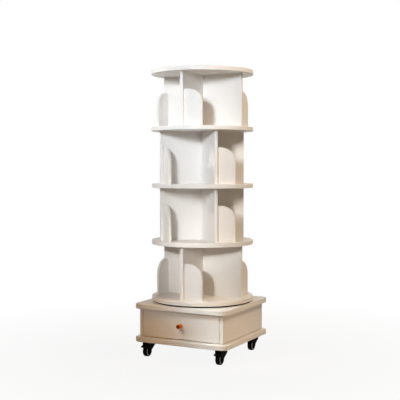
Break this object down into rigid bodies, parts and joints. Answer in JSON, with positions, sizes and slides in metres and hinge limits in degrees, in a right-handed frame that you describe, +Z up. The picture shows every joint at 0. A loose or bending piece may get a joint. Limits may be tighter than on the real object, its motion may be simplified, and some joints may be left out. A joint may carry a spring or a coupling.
{
  "type": "revolving bookcase",
  "caption": "Tall revolving bookcase: round shelves with crossed dividers and book stops turn on a square wheeled base that holds a drawer.",
  "frame": {"origin": "on the stack's turning axis, at floor level", "axes": "+Z up along the turning axis, -Y out of the drawer front, +X to the right seen from the front"},
  "size_m": [0.46, 0.461, 1.281],
  "materials": {
    "ivory_board": "board with warm ivory satin paint",
    "beech": "raw beech",
    "knob_wood": "turned and varnished orange-brown wood",
    "steel": "zinc plated",
    "black_steel": "black powder coat",
    "black_plastic": "black moulded",
    "wheel_rubber": "black tyre on a black core",
    "white_nylon": "natural nylon"
  },
  "bodies": {
    "base": {"base_top_board": "ivory_board", "base_bottom_board": "ivory_board", "base_left_panel": "ivory_board", "base_right_panel": "ivory_board", "base_back_panel": "ivory_board", "base_dowels": "beech", "base_screws": "steel", "swivel_lower_ring": "black_steel", "swivel_lower_screws": "steel", "drawer_runner_left": "white_nylon", "drawer_runner_right": "white_nylon", "runner_screws": "steel", "caster_plates": "black_steel", "caster_plate_screws": "steel"},
    "stack": {"top_board": "ivory_board", "shelf_board_1": "ivory_board", "shelf_board_2": "ivory_board", "shelf_board_3": "ivory_board", "turntable_board": "ivory_board", "tier_1_long_divider": "ivory_board", "tier_1_short_dividers": "ivory_board", "tier_1_book_stops": "ivory_board", "tier_2_long_divider": "ivory_board", "tier_2_short_dividers": "ivory_board", "tier_2_book_stops": "ivory_board", "tier_3_long_divider": "ivory_board", "tier_3_short_dividers": "ivory_board", "tier_3_book_stops": "ivory_board", "tier_4_long_divider": "ivory_board", "tier_4_short_dividers": "ivory_board", "tier_4_book_stops": "ivory_board", "divider_dowels": "beech", "book_stop_screws": "steel", "swivel_upper_ring": "black_steel", "swivel_upper_screws": "steel"},
    "swivel_cage": {"swivel_ball_cage": "white_nylon", "swivel_balls": "steel"},
    "drawer": {"drawer_front": "ivory_board", "drawer_left_side": "ivory_board", "drawer_right_side": "ivory_board", "drawer_back": "ivory_board", "drawer_bottom": "ivory_board", "drawer_knob": "knob_wood", "knob_screw": "steel"},
    "caster_front_left": {"caster_fork_front_left": "black_steel", "caster_axle_front_left": "black_steel"},
    "wheel_front_left": {"caster_wheel_front_left": "wheel_rubber"},
    "caster_front_right": {"caster_fork_front_right": "black_steel", "caster_axle_front_right": "black_steel"},
    "wheel_front_right": {"caster_wheel_front_right": "wheel_rubber"},
    "caster_rear_left": {"caster_fork_rear_left": "black_steel", "caster_axle_rear_left": "black_steel"},
    "wheel_rear_left": {"caster_wheel_rear_left": "wheel_rubber"},
    "caster_rear_right": {"caster_fork_rear_right": "black_steel", "caster_axle_rear_right": "black_steel"},
    "wheel_rear_right": {"caster_wheel_rear_right": "wheel_rubber"},
    "brake_front_left": {"caster_brake_front_left": "black_plastic"},
    "brake_front_right": {"caster_brake_front_right": "black_plastic"}
  },
  "joints": [
    {"name": "stack_turn", "type": "hinge", "parent": "base", "child": "stack", "pos_m": [0, 0, 0.2435], "axis": [0, 0, 1], "continuous": true},
    {"name": "cage_turn", "type": "hinge", "parent": "base", "child": "swivel_cage", "pos_m": [0, 0, 0.2435], "axis": [0, 0, 1], "continuous": true},
    {"name": "drawer_slide", "type": "slide", "parent": "base", "child": "drawer", "axis": [0, -1, 0], "range_m": [0, 0.25]},
    {"name": "swivel_front_left", "type": "hinge", "parent": "base", "child": "caster_front_left", "pos_m": [-0.181, -0.166, 0.063], "axis": [0, 0, 1], "continuous": true},
    {"name": "roll_front_left", "type": "hinge", "parent": "caster_front_left", "child": "wheel_front_left", "pos_m": [-0.181, -0.187, 0.025], "axis": [1, 0, 0], "continuous": true},
    {"name": "swivel_front_right", "type": "hinge", "parent": "base", "child": "caster_front_right", "pos_m": [0.181, -0.166, 0.063], "axis": [0, 0, 1], "continuous": true},
    {"name": "roll_front_right", "type": "hinge", "parent": "caster_front_right", "child": "wheel_front_right", "pos_m": [0.181, -0.187, 0.025], "axis": [1, 0, 0], "continuous": true},
    {"name": "swivel_rear_left", "type": "hinge", "parent": "base", "child": "caster_rear_left", "pos_m": [-0.181, 0.166, 0.063], "axis": [0, 0, 1], "continuous": true},
    {"name": "roll_rear_left", "type": "hinge", "parent": "caster_rear_left", "child": "wheel_rear_left", "pos_m": [-0.181, 0.145, 0.025], "axis": [1, 0, 0], "continuous": true},
    {"name": "swivel_rear_right", "type": "hinge", "parent": "base", "child": "caster_rear_right", "pos_m": [0.181, 0.166, 0.063], "axis": [0, 0, 1], "continuous": true},
    {"name": "roll_rear_right", "type": "hinge", "parent": "caster_rear_right", "child": "wheel_rear_right", "pos_m": [0.181, 0.145, 0.025], "axis": [1, 0, 0], "continuous": true},
    {"name": "brake_front_left", "type": "hinge", "parent": "caster_front_left", "child": "brake_front_left", "pos_m": [-0.181, -0.187, 0.055], "axis": [1, 0, 0], "range_deg": [0, 12]},
    {"name": "brake_front_right", "type": "hinge", "parent": "caster_front_right", "child": "brake_front_right", "pos_m": [0.181, -0.187, 0.055], "axis": [1, 0, 0], "range_deg": [0, 12]}
  ],
  "couplings": [
    {"joint": "cage_turn", "follows": "stack_turn", "ratio": 0.5}
  ]
}
